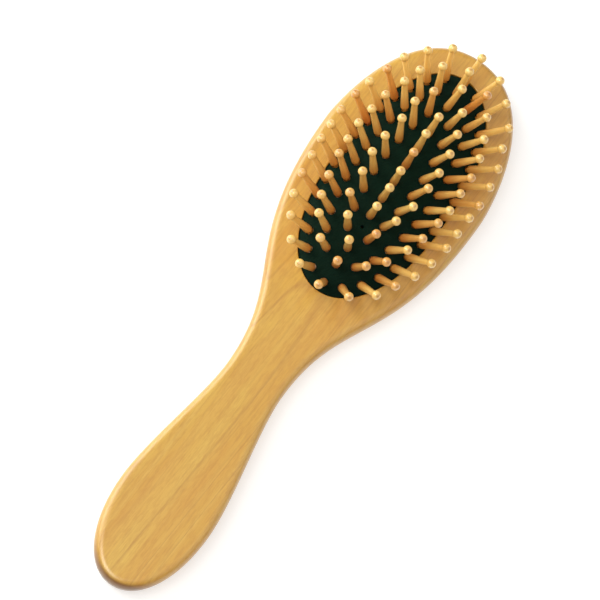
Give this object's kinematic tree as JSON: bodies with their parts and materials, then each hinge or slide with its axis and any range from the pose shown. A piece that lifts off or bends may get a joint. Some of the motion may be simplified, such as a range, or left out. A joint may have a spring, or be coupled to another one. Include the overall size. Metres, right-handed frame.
{
  "type": "cushion hairbrush",
  "caption": "Wooden hairbrush with a flat waisted handle, an oval head, and a domed rubber cushion set with rings of ball-tipped wooden pins.",
  "frame": {"origin": "middle of the body's length and width, on its flat back", "axes": "+X across the brush, +Y along the handle towards the head, +Z out of the face, the way the pins point"},
  "size_m": [0.0628, 0.22, 0.0337],
  "materials": {
    "body_wood": "satin lacquered light hardwood, fine straight grain along the handle",
    "pad_rubber": "matte black-green rubber with a finely woven fabric face",
    "pin_wood": "turned and tumbled light hardwood, satin, tone varies a little from pin to pin"
  },
  "bodies": {
    "brush_body": {"wooden_body": "body_wood", "rubber_pad": "pad_rubber"},
    "centre_row_pin_1_body": {"centre_row_pin_1": "pin_wood"},
    "centre_row_pin_2_body": {"centre_row_pin_2": "pin_wood"},
    "centre_row_pin_3_body": {"centre_row_pin_3": "pin_wood"},
    "centre_row_pin_4_body": {"centre_row_pin_4": "pin_wood"},
    "centre_row_pin_5_body": {"centre_row_pin_5": "pin_wood"},
    "centre_row_pin_6_body": {"centre_row_pin_6": "pin_wood"},
    "inner_ring_head_end_pin_body": {"inner_ring_head_end_pin": "pin_wood"},
    "inner_ring_pin_pair_01_body": {"inner_ring_pin_pair_01": "pin_wood"},
    "inner_ring_pin_pair_02_body": {"inner_ring_pin_pair_02": "pin_wood"},
    "inner_ring_pin_pair_03_body": {"inner_ring_pin_pair_03": "pin_wood"},
    "inner_ring_pin_pair_04_body": {"inner_ring_pin_pair_04": "pin_wood"},
    "inner_ring_pin_pair_05_body": {"inner_ring_pin_pair_05": "pin_wood"},
    "inner_ring_pin_pair_06_body": {"inner_ring_pin_pair_06": "pin_wood"},
    "inner_ring_pin_pair_07_body": {"inner_ring_pin_pair_07": "pin_wood"},
    "inner_ring_pin_pair_08_body": {"inner_ring_pin_pair_08": "pin_wood"},
    "inner_ring_handle_end_pin_body": {"inner_ring_handle_end_pin": "pin_wood"},
    "middle_ring_head_end_pin_body": {"middle_ring_head_end_pin": "pin_wood"},
    "middle_ring_pin_pair_01_body": {"middle_ring_pin_pair_01": "pin_wood"},
    "middle_ring_pin_pair_02_body": {"middle_ring_pin_pair_02": "pin_wood"},
    "middle_ring_pin_pair_03_body": {"middle_ring_pin_pair_03": "pin_wood"},
    "middle_ring_pin_pair_04_body": {"middle_ring_pin_pair_04": "pin_wood"},
    "middle_ring_pin_pair_05_body": {"middle_ring_pin_pair_05": "pin_wood"},
    "middle_ring_pin_pair_06_body": {"middle_ring_pin_pair_06": "pin_wood"},
    "middle_ring_pin_pair_07_body": {"middle_ring_pin_pair_07": "pin_wood"},
    "middle_ring_pin_pair_08_body": {"middle_ring_pin_pair_08": "pin_wood"},
    "middle_ring_pin_pair_09_body": {"middle_ring_pin_pair_09": "pin_wood"},
    "middle_ring_pin_pair_10_body": {"middle_ring_pin_pair_10": "pin_wood"},
    "middle_ring_pin_pair_11_body": {"middle_ring_pin_pair_11": "pin_wood"},
    "middle_ring_pin_pair_12_body": {"middle_ring_pin_pair_12": "pin_wood"},
    "middle_ring_handle_end_pin_body": {"middle_ring_handle_end_pin": "pin_wood"},
    "outer_ring_head_end_pin_body": {"outer_ring_head_end_pin": "pin_wood"},
    "outer_ring_pin_pair_01_body": {"outer_ring_pin_pair_01": "pin_wood"},
    "outer_ring_pin_pair_02_body": {"outer_ring_pin_pair_02": "pin_wood"},
    "outer_ring_pin_pair_03_body": {"outer_ring_pin_pair_03": "pin_wood"},
    "outer_ring_pin_pair_04_body": {"outer_ring_pin_pair_04": "pin_wood"},
    "outer_ring_pin_pair_05_body": {"outer_ring_pin_pair_05": "pin_wood"},
    "outer_ring_pin_pair_06_body": {"outer_ring_pin_pair_06": "pin_wood"},
    "outer_ring_pin_pair_07_body": {"outer_ring_pin_pair_07": "pin_wood"},
    "outer_ring_pin_pair_08_body": {"outer_ring_pin_pair_08": "pin_wood"},
    "outer_ring_pin_pair_09_body": {"outer_ring_pin_pair_09": "pin_wood"},
    "outer_ring_pin_pair_10_body": {"outer_ring_pin_pair_10": "pin_wood"},
    "outer_ring_pin_pair_11_body": {"outer_ring_pin_pair_11": "pin_wood"},
    "outer_ring_pin_pair_12_body": {"outer_ring_pin_pair_12": "pin_wood"},
    "outer_ring_pin_pair_13_body": {"outer_ring_pin_pair_13": "pin_wood"},
    "outer_ring_pin_pair_14_body": {"outer_ring_pin_pair_14": "pin_wood"},
    "outer_ring_pin_pair_15_body": {"outer_ring_pin_pair_15": "pin_wood"},
    "outer_ring_handle_end_pin_body": {"outer_ring_handle_end_pin": "pin_wood"}
  },
  "joints": [
    {"name": "pad_press", "type": "slide", "parent": "brush_body", "child": "centre_row_pin_4_body", "axis": [0, 0, -1], "range_m": [0, 0.0045], "stiffness_N_per_m": 4000, "deforming": ["rubber_pad"]},
    {"name": "centre_row_pin_1_sink", "type": "slide", "parent": "brush_body", "child": "centre_row_pin_1_body", "axis": [0, 0, -1], "range_m": [0, 0.00404]},
    {"name": "centre_row_pin_2_sink", "type": "slide", "parent": "brush_body", "child": "centre_row_pin_2_body", "axis": [0, 0, -1], "range_m": [0, 0.00435]},
    {"name": "centre_row_pin_3_sink", "type": "slide", "parent": "brush_body", "child": "centre_row_pin_3_body", "axis": [0, 0, -1], "range_m": [0, 0.00449]},
    {"name": "centre_row_pin_5_sink", "type": "slide", "parent": "brush_body", "child": "centre_row_pin_5_body", "axis": [0, 0, -1], "range_m": [0, 0.00441]},
    {"name": "centre_row_pin_6_sink", "type": "slide", "parent": "brush_body", "child": "centre_row_pin_6_body", "axis": [0, 0, -1], "range_m": [0, 0.00416]},
    {"name": "inner_ring_head_end_pin_sink", "type": "slide", "parent": "brush_body", "child": "inner_ring_head_end_pin_body", "axis": [0, 0, -1], "range_m": [0, 0.00308]},
    {"name": "inner_ring_pin_pair_01_sink", "type": "slide", "parent": "brush_body", "child": "inner_ring_pin_pair_01_body", "axis": [0, 0, -1], "range_m": [0, 0.00347]},
    {"name": "inner_ring_pin_pair_02_sink", "type": "slide", "parent": "brush_body", "child": "inner_ring_pin_pair_02_body", "axis": [0, 0, -1], "range_m": [0, 0.00376]},
    {"name": "inner_ring_pin_pair_03_sink", "type": "slide", "parent": "brush_body", "child": "inner_ring_pin_pair_03_body", "axis": [0, 0, -1], "range_m": [0, 0.00391]},
    {"name": "inner_ring_pin_pair_04_sink", "type": "slide", "parent": "brush_body", "child": "inner_ring_pin_pair_04_body", "axis": [0, 0, -1], "range_m": [0, 0.00395]},
    {"name": "inner_ring_pin_pair_05_sink", "type": "slide", "parent": "brush_body", "child": "inner_ring_pin_pair_05_body", "axis": [0, 0, -1], "range_m": [0, 0.00396]},
    {"name": "inner_ring_pin_pair_06_sink", "type": "slide", "parent": "brush_body", "child": "inner_ring_pin_pair_06_body", "axis": [0, 0, -1], "range_m": [0, 0.00395]},
    {"name": "inner_ring_pin_pair_07_sink", "type": "slide", "parent": "brush_body", "child": "inner_ring_pin_pair_07_body", "axis": [0, 0, -1], "range_m": [0, 0.00384]},
    {"name": "inner_ring_pin_pair_08_sink", "type": "slide", "parent": "brush_body", "child": "inner_ring_pin_pair_08_body", "axis": [0, 0, -1], "range_m": [0, 0.00359]},
    {"name": "inner_ring_handle_end_pin_sink", "type": "slide", "parent": "brush_body", "child": "inner_ring_handle_end_pin_body", "axis": [0, 0, -1], "range_m": [0, 0.00324]},
    {"name": "middle_ring_head_end_pin_sink", "type": "slide", "parent": "brush_body", "child": "middle_ring_head_end_pin_body", "axis": [0, 0, -1], "range_m": [0, 0.00224]},
    {"name": "middle_ring_pin_pair_01_sink", "type": "slide", "parent": "brush_body", "child": "middle_ring_pin_pair_01_body", "axis": [0, 0, -1], "range_m": [0, 0.00234]},
    {"name": "middle_ring_pin_pair_02_sink", "type": "slide", "parent": "brush_body", "child": "middle_ring_pin_pair_02_body", "axis": [0, 0, -1], "range_m": [0, 0.00249]},
    {"name": "middle_ring_pin_pair_03_sink", "type": "slide", "parent": "brush_body", "child": "middle_ring_pin_pair_03_body", "axis": [0, 0, -1], "range_m": [0, 0.00257]},
    {"name": "middle_ring_pin_pair_04_sink", "type": "slide", "parent": "brush_body", "child": "middle_ring_pin_pair_04_body", "axis": [0, 0, -1], "range_m": [0, 0.00259]},
    {"name": "middle_ring_pin_pair_05_sink", "type": "slide", "parent": "brush_body", "child": "middle_ring_pin_pair_05_body", "axis": [0, 0, -1], "range_m": [0, 0.00256]},
    {"name": "middle_ring_pin_pair_06_sink", "type": "slide", "parent": "brush_body", "child": "middle_ring_pin_pair_06_body", "axis": [0, 0, -1], "range_m": [0, 0.00252]},
    {"name": "middle_ring_pin_pair_07_sink", "type": "slide", "parent": "brush_body", "child": "middle_ring_pin_pair_07_body", "axis": [0, 0, -1], "range_m": [0, 0.00252]},
    {"name": "middle_ring_pin_pair_08_sink", "type": "slide", "parent": "brush_body", "child": "middle_ring_pin_pair_08_body", "axis": [0, 0, -1], "range_m": [0, 0.00258]},
    {"name": "middle_ring_pin_pair_09_sink", "type": "slide", "parent": "brush_body", "child": "middle_ring_pin_pair_09_body", "axis": [0, 0, -1], "range_m": [0, 0.00264]},
    {"name": "middle_ring_pin_pair_10_sink", "type": "slide", "parent": "brush_body", "child": "middle_ring_pin_pair_10_body", "axis": [0, 0, -1], "range_m": [0, 0.00265]},
    {"name": "middle_ring_pin_pair_11_sink", "type": "slide", "parent": "brush_body", "child": "middle_ring_pin_pair_11_body", "axis": [0, 0, -1], "range_m": [0, 0.00261]},
    {"name": "middle_ring_pin_pair_12_sink", "type": "slide", "parent": "brush_body", "child": "middle_ring_pin_pair_12_body", "axis": [0, 0, -1], "range_m": [0, 0.00251]},
    {"name": "middle_ring_handle_end_pin_sink", "type": "slide", "parent": "brush_body", "child": "middle_ring_handle_end_pin_body", "axis": [0, 0, -1], "range_m": [0, 0.00244]},
    {"name": "outer_ring_head_end_pin_sink", "type": "slide", "parent": "brush_body", "child": "outer_ring_head_end_pin_body", "axis": [0, 0, -1], "range_m": [0, 0.000994]},
    {"name": "outer_ring_pin_pair_01_sink", "type": "slide", "parent": "brush_body", "child": "outer_ring_pin_pair_01_body", "axis": [0, 0, -1], "range_m": [0, 0.00105]},
    {"name": "outer_ring_pin_pair_02_sink", "type": "slide", "parent": "brush_body", "child": "outer_ring_pin_pair_02_body", "axis": [0, 0, -1], "range_m": [0, 0.00112]},
    {"name": "outer_ring_pin_pair_03_sink", "type": "slide", "parent": "brush_body", "child": "outer_ring_pin_pair_03_body", "axis": [0, 0, -1], "range_m": [0, 0.00113]},
    {"name": "outer_ring_pin_pair_04_sink", "type": "slide", "parent": "brush_body", "child": "outer_ring_pin_pair_04_body", "axis": [0, 0, -1], "range_m": [0, 0.00106]},
    {"name": "outer_ring_pin_pair_05_sink", "type": "slide", "parent": "brush_body", "child": "outer_ring_pin_pair_05_body", "axis": [0, 0, -1], "range_m": [0, 0.000951]},
    {"name": "outer_ring_pin_pair_06_sink", "type": "slide", "parent": "brush_body", "child": "outer_ring_pin_pair_06_body", "axis": [0, 0, -1], "range_m": [0, 0.00082]},
    {"name": "outer_ring_pin_pair_07_sink", "type": "slide", "parent": "brush_body", "child": "outer_ring_pin_pair_07_body", "axis": [0, 0, -1], "range_m": [0, 0.000707]},
    {"name": "outer_ring_pin_pair_08_sink", "type": "slide", "parent": "brush_body", "child": "outer_ring_pin_pair_08_body", "axis": [0, 0, -1], "range_m": [0, 0.000654]},
    {"name": "outer_ring_pin_pair_09_sink", "type": "slide", "parent": "brush_body", "child": "outer_ring_pin_pair_09_body", "axis": [0, 0, -1], "range_m": [0, 0.000707]},
    {"name": "outer_ring_pin_pair_10_sink", "type": "slide", "parent": "brush_body", "child": "outer_ring_pin_pair_10_body", "axis": [0, 0, -1], "range_m": [0, 0.00082]},
    {"name": "outer_ring_pin_pair_11_sink", "type": "slide", "parent": "brush_body", "child": "outer_ring_pin_pair_11_body", "axis": [0, 0, -1], "range_m": [0, 0.000951]},
    {"name": "outer_ring_pin_pair_12_sink", "type": "slide", "parent": "brush_body", "child": "outer_ring_pin_pair_12_body", "axis": [0, 0, -1], "range_m": [0, 0.00106]},
    {"name": "outer_ring_pin_pair_13_sink", "type": "slide", "parent": "brush_body", "child": "outer_ring_pin_pair_13_body", "axis": [0, 0, -1], "range_m": [0, 0.00113]},
    {"name": "outer_ring_pin_pair_14_sink", "type": "slide", "parent": "brush_body", "child": "outer_ring_pin_pair_14_body", "axis": [0, 0, -1], "range_m": [0, 0.00112]},
    {"name": "outer_ring_pin_pair_15_sink", "type": "slide", "parent": "brush_body", "child": "outer_ring_pin_pair_15_body", "axis": [0, 0, -1], "range_m": [0, 0.00105]},
    {"name": "outer_ring_handle_end_pin_sink", "type": "slide", "parent": "brush_body", "child": "outer_ring_handle_end_pin_body", "axis": [0, 0, -1], "range_m": [0, 0.000994]}
  ],
  "couplings": [
    {"joint": "centre_row_pin_1_sink", "follows": "pad_press", "ratio": 0.8972},
    {"joint": "centre_row_pin_2_sink", "follows": "pad_press", "ratio": 0.9657},
    {"joint": "centre_row_pin_3_sink", "follows": "pad_press", "ratio": 0.9968},
    {"joint": "centre_row_pin_5_sink", "follows": "pad_press", "ratio": 0.9803},
    {"joint": "centre_row_pin_6_sink", "follows": "pad_press", "ratio": 0.9248},
    {"joint": "inner_ring_head_end_pin_sink", "follows": "pad_press", "ratio": 0.6832},
    {"joint": "inner_ring_pin_pair_01_sink", "follows": "pad_press", "ratio": 0.7699},
    {"joint": "inner_ring_pin_pair_02_sink", "follows": "pad_press", "ratio": 0.8353},
    {"joint": "inner_ring_pin_pair_03_sink", "follows": "pad_press", "ratio": 0.8694},
    {"joint": "inner_ring_pin_pair_04_sink", "follows": "pad_press", "ratio": 0.8777},
    {"joint": "inner_ring_pin_pair_05_sink", "follows": "pad_press", "ratio": 0.8794},
    {"joint": "inner_ring_pin_pair_06_sink", "follows": "pad_press", "ratio": 0.8784},
    {"joint": "inner_ring_pin_pair_07_sink", "follows": "pad_press", "ratio": 0.8531},
    {"joint": "inner_ring_pin_pair_08_sink", "follows": "pad_press", "ratio": 0.7968},
    {"joint": "inner_ring_handle_end_pin_sink", "follows": "pad_press", "ratio": 0.7198},
    {"joint": "middle_ring_head_end_pin_sink", "follows": "pad_press", "ratio": 0.4979},
    {"joint": "middle_ring_pin_pair_01_sink", "follows": "pad_press", "ratio": 0.5209},
    {"joint": "middle_ring_pin_pair_02_sink", "follows": "pad_press", "ratio": 0.5533},
    {"joint": "middle_ring_pin_pair_03_sink", "follows": "pad_press", "ratio": 0.5711},
    {"joint": "middle_ring_pin_pair_04_sink", "follows": "pad_press", "ratio": 0.5745},
    {"joint": "middle_ring_pin_pair_05_sink", "follows": "pad_press", "ratio": 0.5684},
    {"joint": "middle_ring_pin_pair_06_sink", "follows": "pad_press", "ratio": 0.5598},
    {"joint": "middle_ring_pin_pair_07_sink", "follows": "pad_press", "ratio": 0.5606},
    {"joint": "middle_ring_pin_pair_08_sink", "follows": "pad_press", "ratio": 0.5733},
    {"joint": "middle_ring_pin_pair_09_sink", "follows": "pad_press", "ratio": 0.5855},
    {"joint": "middle_ring_pin_pair_10_sink", "follows": "pad_press", "ratio": 0.5894},
    {"joint": "middle_ring_pin_pair_11_sink", "follows": "pad_press", "ratio": 0.5804},
    {"joint": "middle_ring_pin_pair_12_sink", "follows": "pad_press", "ratio": 0.5582},
    {"joint": "middle_ring_handle_end_pin_sink", "follows": "pad_press", "ratio": 0.542},
    {"joint": "outer_ring_head_end_pin_sink", "follows": "pad_press", "ratio": 0.2207},
    {"joint": "outer_ring_pin_pair_01_sink", "follows": "pad_press", "ratio": 0.2329},
    {"joint": "outer_ring_pin_pair_02_sink", "follows": "pad_press", "ratio": 0.2499},
    {"joint": "outer_ring_pin_pair_03_sink", "follows": "pad_press", "ratio": 0.2513},
    {"joint": "outer_ring_pin_pair_04_sink", "follows": "pad_press", "ratio": 0.2366},
    {"joint": "outer_ring_pin_pair_05_sink", "follows": "pad_press", "ratio": 0.2112},
    {"joint": "outer_ring_pin_pair_06_sink", "follows": "pad_press", "ratio": 0.1822},
    {"joint": "outer_ring_pin_pair_07_sink", "follows": "pad_press", "ratio": 0.1571},
    {"joint": "outer_ring_pin_pair_08_sink", "follows": "pad_press", "ratio": 0.1453},
    {"joint": "outer_ring_pin_pair_09_sink", "follows": "pad_press", "ratio": 0.1571},
    {"joint": "outer_ring_pin_pair_10_sink", "follows": "pad_press", "ratio": 0.1822},
    {"joint": "outer_ring_pin_pair_11_sink", "follows": "pad_press", "ratio": 0.2112},
    {"joint": "outer_ring_pin_pair_12_sink", "follows": "pad_press", "ratio": 0.2366},
    {"joint": "outer_ring_pin_pair_13_sink", "follows": "pad_press", "ratio": 0.2513},
    {"joint": "outer_ring_pin_pair_14_sink", "follows": "pad_press", "ratio": 0.2499},
    {"joint": "outer_ring_pin_pair_15_sink", "follows": "pad_press", "ratio": 0.2329},
    {"joint": "outer_ring_handle_end_pin_sink", "follows": "pad_press", "ratio": 0.2207}
  ]
}
